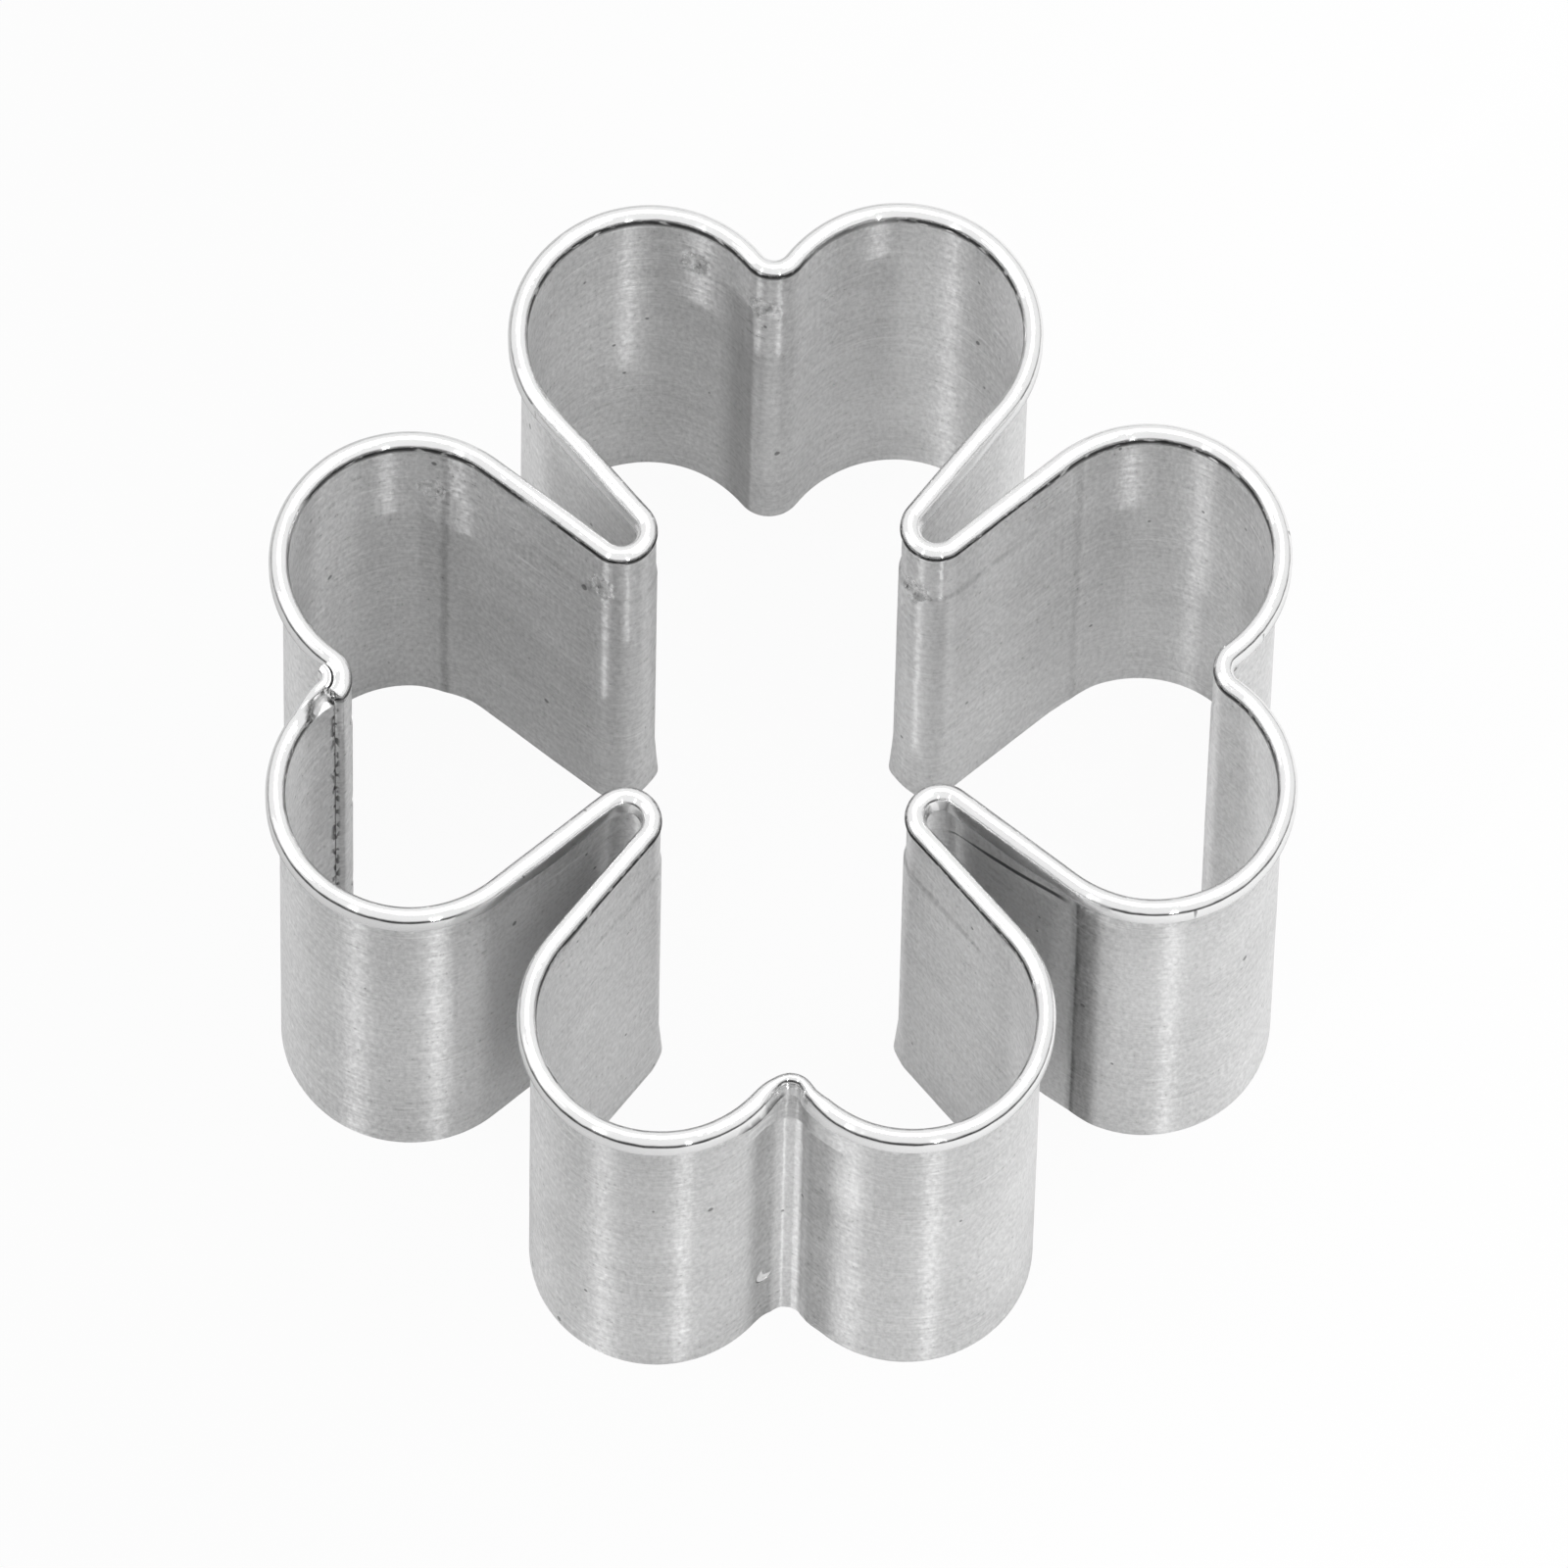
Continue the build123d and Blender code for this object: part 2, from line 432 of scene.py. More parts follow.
def strip_vertices(strip, rolled, hemmed):
    """The strip's points, one whole section after another."""
    curl_middle = Vector((CURL_OUT, CURL_HEIGHT))
    vertices = []
    for (place, normal), along in zip(strip.line, strip.distances):
        opening = strip.opening(along)
        crimp = 1 - CRIMP_SHARE * (1 - ease(along / END_CRIMP))
        closing = END_CLOSING * (1 - ease(along / END_EASE))
        pinch = fade(abs(along - FRONT_NOTCH), *PINCH_SPAN)
        taper = END_TAPER * (1 - ease(along / END_TAPER_LENGTH))
        hang = ROLL_HANG * ease((along - HANG_FROM) / HANG_RISE) * (1 - opening)
        off_shoulder = abs(abs(along - FRONT_NOTCH) - NOTCH_SHOULDER)
        closing += NOTCH_CLOSING * fade(off_shoulder, 0, SHOULDER_REACH)
        for side, (curled, flat) in enumerate(zip(rolled, hemmed)):
            point = curled.lerp(flat, opening)
            if WALL_LEVELS <= side <= HOLLOW_END:
                point.y -= hang * ease((CURL_HEIGHT - point.y) / HANG_EASE)
            if point.y > CURL_HEIGHT - RIM_BLEND and along < END_CRIMP:
                point = curl_middle.lerp(point, crimp)
            if side in (ROLL_END, ROLL_END + 1):
                point.y -= BURR * swell(along, side, BURR_LENGTH, BURRS) * (1 - opening)
            point = pinched(point, pinch)
            if side < WALL_LEVELS:
                point.x += taper
            out, up = uneven(strip, along, point)
            across = normal * (point.x + out + closing)
            vertices.append(place + across + Vector((0, 0, point.y + up)))
    return vertices


def strip_faces(stations, around):
    """Faces between neighbouring sections, and one that closes each end."""
    faces = []
    for station in range(stations - 1):
        for side in range(around):
            after = (side + 1) % around
            a = station * around
            b = a + around
            faces.append((a + side, b + side, b + after, a + after))
    last = (stations - 1) * around
    faces.append(tuple(range(around)))
    faces.append(tuple(last + side for side in reversed(range(around))))
    return faces


def map_strip(mesh, strip, widths):
    """UV map with the distance along the strip and the width across it, in metres."""
    around = len(widths)
    uv = mesh.uv_layers.new(name="strip")
    for polygon in mesh.polygons:
        closes = len(polygon.vertices) == 4 and polygon.index % around == around - 1
        for loop in polygon.loop_indices:
            station, side = divmod(mesh.loops[loop].vertex_index, around)
            width = widths[-1] + SHEET if closes and side == 0 else widths[side]
            uv.data[loop].uv = (strip.distances[station], width)


def marks_at(strip, station, side, place):
    """How much a point is on the rim, in painted crevice shade, on the tools' step and on the seam.
    """
    along = strip.distances[station]
    hollow = ROLL_END < side < HOLLOW_END
    inside = side < WALL_LEVELS + CURL_STEPS // 2
    mashed = 0.0 if inside else fade(abs(along - FRONT_NOTCH), *PINCH_SPAN)
    rolled_part = 0.0 if inside else float(side <= ROLL_END)
    rim = max(rolled_part, ease((place.z - CURL_HEIGHT + RIM_BLEND) / RIM_BLEND))
    drop = BAND_HEIGHT - place.z
    # Painted shade: in the roll's hollow, in the crevice under the rim, which the front walls lack,
    # and low on the roll's outer side by the front notch
    darkening = fade(abs(drop - CREVICE_DROP), *CREVICE_BAND) if inside else 0.0
    facing = ease(CREVICE_FACING + strip.line[station][1].y)
    darkening *= ease((strip.lap_start - along) / HEM_EASE) * facing
    if WALL_LEVELS + CURL_STEPS * FOLD_FROM < side <= ROLL_END:
        darkening = fade(abs(along - FOLD_LINE), *FOLD_REACH)
    near_end = min(along, abs(along - strip.lap_start))
    return {
        "rim": rim * (1 - mashed),
        "crevice": 1.0 if hollow else darkening,
        "step": strip.press(along) * fade(abs(place.z - PRESS_HEIGHT), *STEP_LINE),
        "seam": fade(near_end, *SEAM_BAND),
    }


def mark_strip(mesh, strip, vertices, around):
    """Attributes that tell the material where the marks are."""
    for name in ("rim", "crevice", "seam", "step"):
        mesh.attributes.new(name, "FLOAT", "POINT")
    layers = {layer.name: layer.data for layer in mesh.attributes if layer.data_type == "FLOAT"}
    for index, place in enumerate(vertices):
        station, side = divmod(index, around)
        for name, value in marks_at(strip, station, side, place).items():
            layers[name][index].value = value


def strip_mesh(strip):
    """The whole strip as one closed mesh, with its length and width unrolled in the UV map."""
    rolled = rolled_section()
    around = len(rolled)
    widths = [0.0]
    for a, b in zip(rolled, rolled[1:]):
        widths.append(widths[-1] + (b - a).length)
    vertices = strip_vertices(strip, rolled, hemmed_section())
    mesh = bpy.data.meshes.new("cutter_strip")
    mesh.from_pydata(vertices, [], strip_faces(len(strip.line), around))
    map_strip(mesh, strip, widths)
    mark_strip(mesh, strip, vertices, around)
    mesh.validate()
    mesh.update()
    return mesh


strip = Strip()
band = bpy.data.objects.new("cutter_strip", strip_mesh(strip))
bpy.context.scene.collection.objects.link(band)


def cut_weld_holes():
    """Holes for the weld nuggets, which end just below the sheet's faces."""
    for name in ("spot_weld_lower", "spot_weld_middle", "spot_weld_upper"):
        low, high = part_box(name)
        middle = (low + high) / 2
        radius = (high.z - low.z) / 2
        drill = bmesh.new()
        turn = Matrix.Rotation(RIGHT_ANGLE, 4, "Y")
        bmesh.ops.create_cone(
            drill, cap_ends=True, segments=HOLE_SEGMENTS, radius1=radius, radius2=radius,
            depth=DRILL_LENGTH, matrix=Matrix.Translation(middle) @ turn,
        )
        mesh = bpy.data.meshes.new("drill")
        drill.to_mesh(mesh)
        drill.free()
        tool = bpy.data.objects.new("drill", mesh)
        bpy.context.scene.collection.objects.link(tool)
        cut = band.modifiers.new("hole", "BOOLEAN")
        cut.operation = "DIFFERENCE"
        cut.solver = "EXACT"
        cut.object = tool
        bpy.context.view_layer.objects.active = band
        bpy.ops.object.modifier_apply(modifier=cut.name)
        bpy.data.objects.remove(tool)
        bpy.data.meshes.remove(mesh)


cut_weld_holes()
band.data.shade_smooth()
band.data.set_sharp_from_angle(angle=SHARP_ANGLE)
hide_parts("cutter_band")
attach(band, "root")

# Materials


class Graph:
    """Short calls for a material's nodes."""

    def __init__(self, tree):
        self.tree = tree

    def node(self, kind, **settings):
        found = self.tree.nodes.new(kind)
        for name, value in settings.items():
            setattr(found, name, value)
        return found

    def link(self, source, target):
        self.tree.links.new(source, target)

    def math(self, operation, *inputs):
        found = self.node("ShaderNodeMath", operation=operation)
        for socket, value in zip(found.inputs, inputs):
            if isinstance(value, (int, float)):
                socket.default_value = value
            else:
                self.link(value, socket)
        return found.outputs[0]

    def sway(self, value, amount):
        """A noise from 0 to 1, turned into a swing to both sides of 0."""
        return self.math("MULTIPLY", self.math("SUBTRACT", value, 0.5), amount)

    def total(self, first, *others):
        for other in others:
            first = self.math("ADD", first, other)
        return first

    def product(self, first, *others):
        for other in others:
            first = self.math("MULTIPLY", first, other)
        return first

    def highest(self, first, *others):
        for other in others:
            first = self.math("MAXIMUM", first, other)
        return first

    def rest(self, value):
        """What is left of 1."""
        return self.math("SUBTRACT", 1.0, value)

    def apart(self, a, b):
        """Distance between two numbers."""
        return self.math("ABSOLUTE", self.math("SUBTRACT", a, b))

    def noise(self, coordinates, scale, detail=2.0, roughness=0.5):
        """Noise on coordinates in metres. The scale is in cells per metre, or one for each axis."""
        if isinstance(scale, tuple):
            mapping = self.node("ShaderNodeMapping")
            mapping.inputs["Scale"].default_value = scale
            self.link(coordinates, mapping.inputs["Vector"])
            coordinates, scale = mapping.outputs[0], 1.0
        found = self.node("ShaderNodeTexNoise")
        found.inputs["Scale"].default_value = scale
        found.inputs["Detail"].default_value = detail
        found.inputs["Roughness"].default_value = roughness
        self.link(coordinates, found.inputs["Vector"])
        return found.outputs["Fac"]

    def spot(self, coordinates, centre, reach):
        """1 at a centre in metres on the strip map, falling to 0 at its reach along and across."""
        mapping = self.node("ShaderNodeMapping")
        mapping.inputs["Scale"].default_value = (1 / reach[0], 1 / reach[1], 1)
        mapping.inputs["Location"].default_value = (-centre[0] / reach[0], -centre[1] / reach[1], 0)
        self.link(coordinates, mapping.inputs["Vector"])
        length = self.node("ShaderNodeVectorMath", operation="LENGTH")
        self.link(mapping.outputs[0], length.inputs[0])
        return self.rest(self.steps(length.outputs["Value"], *SPOT_EDGES))

    def steps(self, value, low, high):
        """0 below low, 1 above high, smooth between them."""
        found = self.node("ShaderNodeMapRange", interpolation_type="SMOOTHSTEP")
        found.inputs["From Min"].default_value = low
        found.inputs["From Max"].default_value = high
        self.link(value, found.inputs["Value"])
        return found.outputs["Result"]

    def stretch(self, value, rise, fall):
        """1 from the end of one step to the start of another."""
        return self.math("SUBTRACT", self.steps(value, *rise), self.steps(value, *fall))

    def grey(self, value):
        found = self.node("ShaderNodeCombineColor")
        for socket in found.inputs:
            self.link(value, socket)
        return found.outputs["Color"]

    def attribute(self, name):
        return self.node("ShaderNodeAttribute", attribute_name=name).outputs["Fac"]

    def bump(self, height, shader):
        """Bump from a height in metres."""
        found = self.node("ShaderNodeBump")
        found.inputs["Distance"].default_value = 1.0
        found.inputs["Strength"].default_value = 1.0
        self.link(height, found.inputs["Height"])
        self.link(found.outputs[0], shader.inputs["Normal"])


TIN_TONE = 0.83
RIM_TONE = 0.96
TIN_ROUGHNESS = 0.32
RIM_ROUGHNESS = 0.13
BRUSHED = 1.0
ACROSS_THE_STRIP = 0.25

# Patterns: cells per metre along and across the strip, or in space, then detail and roughness
STREAKS = ((420, 4600, 1), 3)
LONG_STREAKS = ((80, 2200, 1), 2)
DASHES = ((1000, 4500, 1), 2)
GRAIN = ((5200, 2300, 1), 2, 0.6)
DENTS = ((300, 700, 1), 1)
FLECKS = ((2000, 1200, 1), 1)
PATCHES = ((150, 110, 1), 2)
HAIRS = ((170, 3400, 1), 1)
SPECKS = ((2100, 1300, 1), 0)
PITS = ((3600, 1200, 1), 1)
RAGGED = ((1500, 3000, 1), 2)
SHADE_BREAKS = ((130, 60, 1), 1)
WORN_RIM = ((1300, 1500, 1), 1)
WOBBLE = ((0, 260, 1), 2)
CLOUD = (420, 3)

# Levels of a pattern, or of a mark, between which it turns from 0 to 1
PATCH_EDGES = (0.35, 0.65)
HAIR_EDGES = (0.66, 0.72)
SPECK_EDGES = (0.84, 0.88)
PIT_EDGES = (0.52, 0.60)
RAGGED_EDGES = (0.34, 0.46)
SHADE_BREAK_EDGES = (0.30, 0.36)
NICK_EDGES = (0.08, 0.30)
SPOT_EDGES = (0.2, 1.0)

# How much each changes the tone
STREAK_TONE = 0.26
LONG_STREAK_TONE = 0.10
HAIR_TONE = 0.10
GRAIN_TONE = 0.55
CLOUD_TONE = 0.16
PATCH_SHARE = 0.8
PLAIN_SHARE = 0.3
# The scrapes' bright and dark flecks and their lift are partly painted glints
FLECK_GLINT_TONE = 1.8
SCUFF_GLINT_LIFT = 0.10
RUB_SHARE = 0.35
BURNISH_LIFT = 0.13
# Painted highlight on the nick's crescent
NICK_HIGHLIGHT = 0.5
# The first and the last of these are painted shade, by the rim and along the tools' step
CREVICE_SHADE = 0.9
PITTING = 0.8
SPECK_SHADE = 0.6
STEP_SHADE = 0.16

# How much each changes the roughness
STREAK_DULLNESS = 0.16
GRAIN_DULLNESS = 0.14
SCUFF_SHINE = 0.10

# How high each stands
DASH_HEIGHT = 0.045 * MM
STREAK_HEIGHT = 0.008 * MM
LONG_STREAK_HEIGHT = 0.012 * MM
GRAIN_HEIGHT = 0.003 * MM
DENT_HEIGHT = 0.012 * MM
FLECK_HEIGHT = 0.50 * MM
RIM_HEIGHT = 0.030 * MM
NICK_HEIGHT = -0.18 * MM
RIM_CALM = 0.85

# Marks on the inner face, by distance along the strip and height
# Scuffs, whose bright flecks are partly painted glints
SCUFF_GLINT_SPOTS = ((16.3, 20.9), (24.9, 21.5), (48.5, 21.5), (52.0, 21.4), (78.2, 20.8))
SCUFF_REACH = (0.9 * MM, 1.3 * MM)
# Painted shade: a darker strip on the inner face beside the top notch, below a height
SHADE_STRIP_FROM = (49.5 * MM, 50.9 * MM)
SHADE_STRIP_TO = (51.5 * MM, 51.7 * MM)
SHADE_STRIP_TOP = (20.0 * MM, 21.5 * MM)
STRIP_SHADE = 0.30

# Marks on the outer face
NICK = (155.95 * MM, 4.5 * MM)
NICK_REACH = (0.55 * MM, 0.80 * MM)
NICK_SHIFT = (0.16 * MM, 0.26 * MM)
BURNISH = (151.7 * MM, 17.2 * MM)
BURNISH_REACH = (1.7 * MM, 3.2 * MM)
RUB_FROM = (23.8 * MM, 23.3 * MM)
RUB_TO = (22.7 * MM, 22.0 * MM)

# Painted shade down the creases: its amount at each, and the lines' width
PAINTED_CREASE_SHADE = (0.20, 0.09, 0.20)
BEND_WIDTH = (0.05 * MM, 0.28 * MM)
BEND_WOBBLE = 0.5 * MM

# Painted light: broad brighter places, by distance and height, on the inner and on the outer face
PAINTED_LIGHT_INSIDE = ((57.2, 11.0), (79.4, 12.0), (105.9, 15.0), (133.6, 13.0), (176.4, 13.0))
PAINTED_LIGHT_OUTSIDE = ((186.5, 14.0), (125.0, 14.0))
PAINTED_LIGHT_REACH = (7.5 * MM, 22.0 * MM)
INSIDE_LIFT = 0.10
OUTSIDE_LIFT = 0.16

# Front notch tones: painted highlight down its bend, painted shade on its sides and the mashed zone
# above
NOTCH_FACET = (0.35 * MM, 0.60 * MM)
FACET_HIGHLIGHT = 0.10
NOTCH_SIDES = (0.7 * MM, 1.1 * MM)
SIDES_END = (1.7 * MM, 2.6 * MM)
SIDES_SHADE = 0.24
MASHED_FROM = (20.4 * MM, 20.9 * MM)
MASHED_TO = (24.6 * MM, 24.9 * MM)
MASHED_REACH = (0.9 * MM, 1.7 * MM)
MASHED_SHADE = 0.16

# Painted shade: a dark strip beside the right gap's bend line
GAP_SHADE_FROM = (119.8 * MM, 120.4 * MM)
GAP_SHADE_TO = (121.1 * MM, 121.25 * MM)
GAP_SHADE = 0.40

# Painted shade: a dark line across the right gap's wall; its height at the strip's start, and slope
GAP_LINE_START = 49.3 * MM
GAP_LINE_SLOPE = -0.226
GAP_LINE_WIDTH = (0.10 * MM, 0.26 * MM)
GAP_LINE_FROM = (121.3 * MM, 122.2 * MM)
GAP_LINE_TO = (127.4 * MM, 128.1 * MM)
GAP_LINE_SHADE = 0.85


class StripGraph(Graph):
    """Nodes that know the place on the strip."""

    def __init__(self, tree):
        super().__init__(tree)
        outline = rolled_section()
        self.outer_foot = sum((b - a).length for a, b in zip(outline, outline[1:])) - SHEET
        self.map = self.node("ShaderNodeUVMap", uv_map="strip").outputs[0]
        split = self.node("ShaderNodeSeparateXYZ")
        self.link(self.map, split.inputs[0])
        self.along, self.width = split.outputs["X"], split.outputs["Y"]
        self.off_foot = self.math("SUBTRACT", self.outer_foot, self.width)
        self.off_notch = self.apart(self.along, FRONT_NOTCH)
        self.ragged = self.pattern(RAGGED, RAGGED_EDGES)

    def pattern(self, shape, edges=None):
        found = self.noise(self.map, *shape)
        return self.steps(found, *edges) if edges else found

    def inside(self, along, height, reach):
        """A spot on the inner face."""
        return self.spot(self.map, (along, height), reach)

    def outside(self, along, height, reach):
        """A spot on the outer face."""
        return self.spot(self.map, (along, self.outer_foot - height), reach)

    def darkening(self):
        """Painted shade by the rim, on the tools' step and across the right gap; seam pits; specks.
        """
        shade_breaks = self.pattern(SHADE_BREAKS, SHADE_BREAK_EDGES)
        # Painted shade beside the rim and in the roll's hollow, broken up in patches
        crevice_shade = self.product(self.attribute("crevice"), self.ragged, shade_breaks, CREVICE_SHADE)
        pits = self.product(self.pattern(PITS, PIT_EDGES), self.attribute("seam"), PITTING)
        specks = self.product(self.pattern(SPECKS, SPECK_EDGES), SPECK_SHADE)
        # Painted shade along the tools' step
        step_line = self.product(self.attribute("step"), self.ragged, STEP_SHADE)
        # Painted shade: a dark line across the right gap's wall
        line_height = self.math("MULTIPLY_ADD", self.along, GAP_LINE_SLOPE, GAP_LINE_START)
        off_line = self.apart(self.off_foot, line_height)
        gap_line = self.rest(self.steps(off_line, *GAP_LINE_WIDTH))
        in_gap = self.stretch(self.along, GAP_LINE_FROM, GAP_LINE_TO)
        gap_line = self.product(gap_line, in_gap, GAP_LINE_SHADE)
        return self.highest(crevice_shade, pits, specks, step_line, gap_line)

    def scuffs_and_glints(self, patches):
        """Scuffs inside and the rub below the rim outside: real wear, partly painted glints."""
        rub_from = [self.outer_foot - height for height in RUB_FROM]
        rub_to = [self.outer_foot - height for height in RUB_TO]
        rubbed = self.product(self.stretch(self.width, rub_from, rub_to), patches, RUB_SHARE)
        spots = [self.inside(along * MM, height * MM, SCUFF_REACH) for along, height in SCUFF_GLINT_SPOTS]
        return self.highest(rubbed, *spots)

    def nick_and_highlight(self):
        """A crescent: one spot without another. A real dent in the bump; in the tone, a painted
        highlight.
        """
        whole = self.outside(*NICK, NICK_REACH)
        hollow = self.outside(NICK[0] - NICK_SHIFT[0], NICK[1] + NICK_SHIFT[1], NICK_REACH)
        return self.steps(self.product(whole, self.rest(hollow)), *NICK_EDGES)

    # Painted shade in a strip beside the top notch
    def painted_shade_strip(self):
        below = self.rest(self.steps(self.width, *SHADE_STRIP_TOP))
        return self.product(self.stretch(self.along, SHADE_STRIP_FROM, SHADE_STRIP_TO), below, STRIP_SHADE)

    # Painted shade down each crease, along a wobbling line
    def painted_crease_shade(self):
        wobble = self.sway(self.pattern(WOBBLE), BEND_WOBBLE)
        lines = []
        for along, depth in zip(CREASES, PAINTED_CREASE_SHADE):
            off = self.math("ABSOLUTE", self.total(self.along, wobble, -along))
            lines.append(self.product(self.rest(self.steps(off, *BEND_WIDTH)), depth))
        return self.highest(*lines)

    def facet_highlight(self):
        """Painted highlight: a pale facet down the front notch's bend."""
        below = self.rest(self.steps(self.off_foot, *MASHED_FROM))
        near = self.rest(self.steps(self.off_notch, *NOTCH_FACET))
        return self.product(near, below, FACET_HIGHLIGHT)

    def shade(self):
        """Painted shade on the front notch's sides, its mashed rim, and the right gap's strip."""
        below = self.rest(self.steps(self.off_foot, *MASHED_FROM))
        sides = self.stretch(self.off_notch, NOTCH_SIDES, SIDES_END)
        near = self.rest(self.steps(self.off_notch, *MASHED_REACH))
        mashed = self.stretch(self.off_foot, MASHED_FROM, MASHED_TO)
        in_gap = self.stretch(self.along, GAP_SHADE_FROM, GAP_SHADE_TO)
        return self.total(
            self.product(in_gap, GAP_SHADE), self.product(sides, below, SIDES_SHADE),
            self.product(mashed, near, MASHED_SHADE),
        )

    def with_painted_light(self, tone):
        """The tone with broad places of painted light."""
        for along, height in PAINTED_LIGHT_INSIDE:
            bright = self.inside(along * MM, height * MM, PAINTED_LIGHT_REACH)
            tone = self.math("MULTIPLY_ADD", bright, INSIDE_LIFT, tone)
        for along, height in PAINTED_LIGHT_OUTSIDE:
            bright = self.outside(along * MM, height * MM, PAINTED_LIGHT_REACH)
            tone = self.math("MULTIPLY_ADD", bright, OUTSIDE_LIFT, tone)
        return tone


def new_material(name, kind):
    """A material, its graph and its shader."""
    material = bpy.data.materials.new(name)
    material.use_nodes = True
    return material, kind(material.node_tree), material.node_tree.nodes.get("Principled BSDF")


def tinned_steel():
    """Tinned sheet: grained and scratched along the strip, burnished by the roller at the rim."""
    material, graph, shader = new_material("tinned_steel", StripGraph)
    rim = graph.attribute("rim")
    streaks = graph.pattern(STREAKS)
    long_streaks = graph.pattern(LONG_STREAKS)
    grain = graph.pattern(GRAIN)
    flecks = graph.pattern(FLECKS)
    patches = graph.pattern(PATCHES, PATCH_EDGES)
    hairs = graph.pattern(HAIRS, HAIR_EDGES)
    cloud = graph.noise(graph.node("ShaderNodeTexCoord").outputs["Object"], *CLOUD)
    scuffs_and_glints = graph.scuffs_and_glints(patches)
    burnished = graph.outside(*BURNISH, BURNISH_REACH)
    nick_and_highlight = graph.nick_and_highlight()

    lines = graph.total(
        graph.sway(streaks, STREAK_TONE), graph.sway(long_streaks, LONG_STREAK_TONE),
        graph.sway(hairs, HAIR_TONE),
    )
    lines = graph.product(lines, graph.math("MULTIPLY_ADD", patches, PATCH_SHARE, PLAIN_SHARE))
    tone = graph.total(
        lines, graph.sway(grain, GRAIN_TONE), graph.sway(cloud, CLOUD_TONE), TIN_TONE,
    )
    # Painted shade down the creases, on the front notch and beside the right gap
    tone = graph.math("SUBTRACT", tone, graph.total(graph.painted_crease_shade(), graph.shade()))
    # Scrapes: real wear with bright and dark flecks, partly painted glints
    scrapes_and_glints = graph.product(graph.total(graph.sway(flecks, FLECK_GLINT_TONE), SCUFF_GLINT_LIFT), scuffs_and_glints)
    # Adds the burnish, the notch facet's painted highlight, scrapes with partly painted glints and
    # the nick's painted highlight
    tone = graph.total(
        tone, graph.product(burnished, BURNISH_LIFT), graph.facet_highlight(), scrapes_and_glints,
        graph.product(nick_and_highlight, NICK_HIGHLIGHT),
    )
    # Painted light in broad places, then painted shade in a strip beside the top notch
    tone = graph.product(graph.with_painted_light(tone), graph.rest(graph.painted_shade_strip()))
    tone = graph.total(tone, graph.product(rim, graph.math("SUBTRACT", RIM_TONE, tone)))
    # Painted shade darkens the tone by the rim, along the tools' step and across the right gap;
    # pits and specks are real
    tone = graph.product(tone, graph.rest(graph.darkening()))
    graph.link(graph.grey(tone), shader.inputs["Base Color"])

    dull = graph.total(
        graph.sway(streaks, STREAK_DULLNESS), graph.sway(grain, GRAIN_DULLNESS), TIN_ROUGHNESS,
    )
    dull = graph.math("SUBTRACT", dull, graph.product(scuffs_and_glints, SCUFF_SHINE))
    smooth = graph.product(rim, graph.math("SUBTRACT", dull, RIM_ROUGHNESS))
    graph.link(graph.math("SUBTRACT", dull, smooth), shader.inputs["Roughness"])

    height = graph.total(
        graph.product(graph.pattern(DASHES), DASH_HEIGHT), graph.product(streaks, STREAK_HEIGHT),
        graph.product(long_streaks, LONG_STREAK_HEIGHT), graph.product(grain, GRAIN_HEIGHT),
        graph.product(graph.pattern(DENTS), DENT_HEIGHT),
        graph.product(graph.sway(flecks, FLECK_HEIGHT), scuffs_and_glints),
    )
    height = graph.product(height, graph.rest(graph.product(rim, RIM_CALM)))
    worn_rim = graph.product(graph.pattern(WORN_RIM), rim, RIM_HEIGHT)
    graph.bump(graph.total(height, worn_rim, graph.product(nick_and_highlight, NICK_HEIGHT)), shader)

    along = graph.node("ShaderNodeTangent", direction_type="UV_MAP", uv_map="strip")
    graph.link(along.outputs[0], shader.inputs["Tangent"])
    shader.inputs["Metallic"].default_value = 1.0
    shader.inputs["Anisotropic"].default_value = BRUSHED
    shader.inputs["Anisotropic Rotation"].default_value = ACROSS_THE_STRIP
    return material


WELD_TONE = 0.50
WELD_ROUGHNESS = 0.48
WELD_SWAY = 0.2
WELD_GRAIN = (9000, 2)
WELD_PITS = (3600, 2)
WELD_PIT_EDGES = (0.52, 0.66)
WELD_PIT_TONE = -0.22
WELD_PIT_HEIGHT = -0.02 * MM


def weld_metal():
    """Weld nugget: dull grey with a pitted face, darkened by the heat."""
    material, graph, shader = new_material("weld_metal", Graph)
    space = graph.node("ShaderNodeTexCoord").outputs["Object"]
    grain = graph.sway(graph.noise(space, *WELD_GRAIN), WELD_SWAY)
    pits = graph.steps(graph.noise(space, *WELD_PITS), *WELD_PIT_EDGES)
    tone = graph.total(grain, graph.product(pits, WELD_PIT_TONE), WELD_TONE)
    graph.link(graph.grey(tone), shader.inputs["Base Color"])
    graph.link(graph.total(grain, WELD_ROUGHNESS), shader.inputs["Roughness"])
    graph.bump(graph.product(pits, WELD_PIT_HEIGHT), shader)
    shader.inputs["Metallic"].default_value = 1.0
    return material


band.data.materials.append(tinned_steel())
nugget = weld_metal()
for name, node in frame["nodes"].items():
    if name.startswith("spot_weld"):
        node.data.materials.clear()
        node.data.materials.append(nugget)

# Studio

# The floor is white paper that ends a few centimetres in front of the part: its tone where it is
# lit, to the camera and in the metal, and painted light that makes it brighter to the right
FLOOR_SIZE = 1.6
FLOOR_TONE = 0.60
FLOOR_SEEN = 0.95
FLOOR_MIRRORED = 0.28
FLOOR_LEFT = 0.72
FLOOR_RIGHT = 1.25
FLOOR_TURN = (-0.03, 0.03)
PAPER_EDGE = (0.178, 0.22)
PAPER_MIDDLE = (0.02, 0.12, 0.0)
FRONT_LEVEL = 0.05
REAR_LEVEL = 0.50
REAR_FROM = -0.3
REAR_FULL = 0.5
CEILING_LEVEL = 0.85
CEILING_FROM = 0.02
CEILING_FULL = 0.26
CEILING_TILT = 0.1


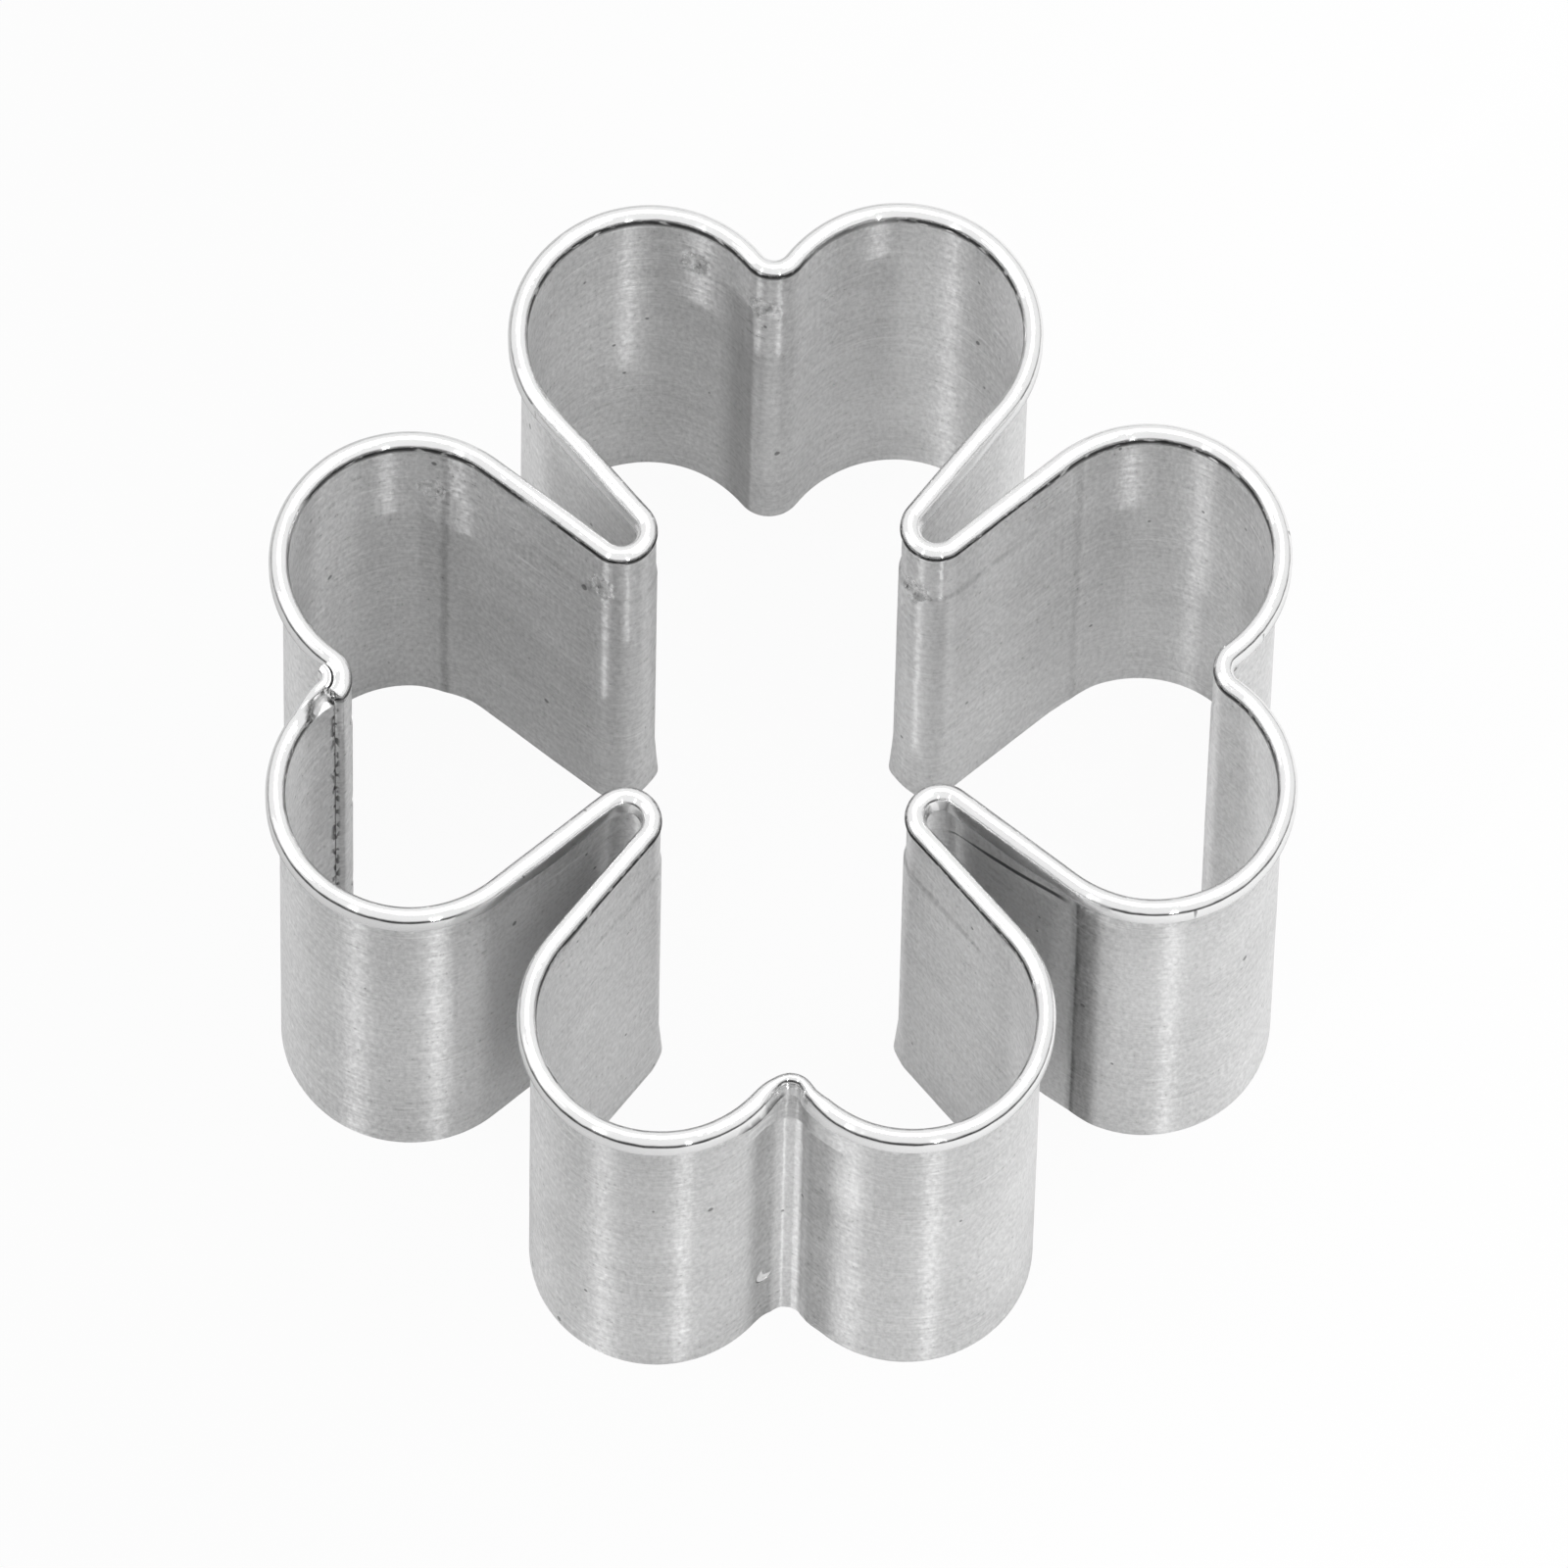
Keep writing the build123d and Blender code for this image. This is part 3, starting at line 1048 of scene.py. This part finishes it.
def floor():
    mesh = bpy.data.meshes.new("floor")
    half = FLOOR_SIZE / 2
    corners = [(-half, -half, 0), (half, -half, 0), (half, half, 0), (-half, half, 0)]
    mesh.from_pydata(corners, [], [(0, 1, 2, 3)])
    found = bpy.data.objects.new("floor", mesh)
    bpy.context.scene.collection.objects.link(found)
    material, graph, _ = new_material("paper_white", Graph)
    material.node_tree.nodes.clear()
    space = graph.node("ShaderNodeTexCoord").outputs["Object"]
    reach = graph.node("ShaderNodeVectorMath", operation="DISTANCE")
    reach.inputs[1].default_value = PAPER_MIDDLE
    graph.link(space, reach.inputs[0])
    far = graph.steps(reach.outputs["Value"], *PAPER_EDGE)
    split = graph.node("ShaderNodeSeparateXYZ")
    graph.link(space, split.inputs[0])
    # Painted light: the paper grows brighter from left to right
    across = graph.steps(split.outputs["X"], *FLOOR_TURN)
    across = graph.math("MULTIPLY_ADD", across, FLOOR_RIGHT - FLOOR_LEFT, FLOOR_LEFT)
    paper = graph.product(graph.rest(far), across)
    lit = graph.product(paper, FLOOR_TONE)
    diffuse = graph.node("ShaderNodeBsdfDiffuse")
    graph.link(graph.grey(lit), diffuse.inputs["Color"])
    glow = graph.node("ShaderNodeEmission")
    path = graph.node("ShaderNodeLightPath")
    seen = graph.product(path.outputs["Is Camera Ray"], FLOOR_SEEN)
    reflected = graph.total(path.outputs["Is Glossy Ray"], path.outputs["Is Transmission Ray"])
    share = graph.total(seen, graph.product(reflected, paper, FLOOR_MIRRORED))
    mix = graph.node("ShaderNodeMixShader")
    graph.link(share, mix.inputs[0])
    graph.link(diffuse.outputs[0], mix.inputs[1])
    graph.link(glow.outputs[0], mix.inputs[2])
    graph.link(mix.outputs[0], graph.node("ShaderNodeOutputMaterial").inputs["Surface"])
    mesh.materials.append(material)


def world():
    """A soft white ceiling, a grey sweep behind and a dark room in front. The camera sees white."""
    sky = bpy.data.worlds.new("studio")
    bpy.context.scene.world = sky
    sky.use_nodes = True
    graph = Graph(sky.node_tree)
    background = sky.node_tree.nodes["Background"]
    background.inputs["Color"].default_value = (1, 1, 1, 1)
    ray = graph.node("ShaderNodeTexCoord").outputs["Generated"]
    split = graph.node("ShaderNodeSeparateXYZ")
    graph.link(ray, split.inputs[0])
    tilted = graph.math("MULTIPLY_ADD", split.outputs["Y"], CEILING_TILT, split.outputs["Z"])
    rise = graph.steps(tilted, CEILING_FROM, CEILING_FULL)
    behind = graph.steps(split.outputs["Y"], REAR_FROM, REAR_FULL)
    wall = graph.math("MULTIPLY_ADD", behind, REAR_LEVEL - FRONT_LEVEL, FRONT_LEVEL)
    level = graph.total(wall, graph.product(rise, graph.math("SUBTRACT", CEILING_LEVEL, wall)))
    seen = graph.node("ShaderNodeLightPath").outputs["Is Camera Ray"]
    white = graph.product(seen, graph.rest(level))
    graph.link(graph.total(level, white), background.inputs["Strength"])


LAMP_DISTANCE = 0.7


def lamp(name, azimuth, elevation, size, watts):
    """A square lamp aimed at the object. Azimuth is from the front, positive to the right."""
    data = bpy.data.lights.new(name, "AREA")
    data.shape = "SQUARE"
    data.size = size
    data.energy = watts
    found = bpy.data.objects.new(name, data)
    bpy.context.scene.collection.objects.link(found)
    turn, rise = math.radians(azimuth), math.radians(elevation)
    level = Vector((math.sin(turn), -math.cos(turn), 0))
    away = level * math.cos(rise) + Vector((0, 0, math.sin(rise)))
    found.location = Vector((0, 0, BAND_HEIGHT / 2)) + away * LAMP_DISTANCE
    found.rotation_mode = "QUATERNION"
    found.rotation_quaternion = away.to_track_quat("Z", "Y")
    found.visible_camera = False


floor()
world()
lamp("left_softbox", -90, 45, 0.30, 0.50)
lamp("right_softbox", 90, 70, 0.25, 0.70)
lamp("overhead_softbox", 180, 70, 0.25, 0.54)
lamp("left_lamp", -38, 38, 0.02, 0.75)
lamp("right_lamp", 14, 20, 0.02, 0.50)

# Camera: the photograph's frame, lens and viewing angle
PHOTO_WIDTH = 1600
SENSOR = 36.0
PIXELS_PER_METRE = 24.68 / MM
CAMERA_DISTANCE = 1.483
CLIP = (0.1, 10.0)
ELEVATION = math.radians(66.95)
AZIMUTH = math.radians(-2.107)
ROLL = math.radians(1.376)
AIM_PIXEL = (794.2, 805.8)


def camera():
    back = Vector((
        math.sin(AZIMUTH) * math.cos(ELEVATION),
        -math.cos(AZIMUTH) * math.cos(ELEVATION),
        math.sin(ELEVATION),
    ))
    level = Vector((math.cos(AZIMUTH), math.sin(AZIMUTH), 0))
    up = back.cross(level)
    right = level * math.cos(ROLL) + up * math.sin(ROLL)
    above = up * math.cos(ROLL) - level * math.sin(ROLL)
    off_x = (PHOTO_WIDTH / 2 - AIM_PIXEL[0]) / PIXELS_PER_METRE
    off_y = (AIM_PIXEL[1] - PHOTO_WIDTH / 2) / PIXELS_PER_METRE
    middle = Vector((0, 0, BAND_HEIGHT / 2))
    place = middle + right * off_x + above * off_y + back * CAMERA_DISTANCE
    data = bpy.data.cameras.new("camera")
    data.sensor_width = SENSOR
    data.lens = PIXELS_PER_METRE * CAMERA_DISTANCE * SENSOR / PHOTO_WIDTH
    data.clip_start, data.clip_end = CLIP
    found = bpy.data.objects.new("camera", data)
    bpy.context.scene.collection.objects.link(found)
    columns = Matrix((right, above, back)).transposed()
    found.matrix_world = Matrix.Translation(place) @ columns.to_4x4()
    bpy.context.scene.camera = found


camera()
bpy.context.scene.view_settings.view_transform = "Standard"
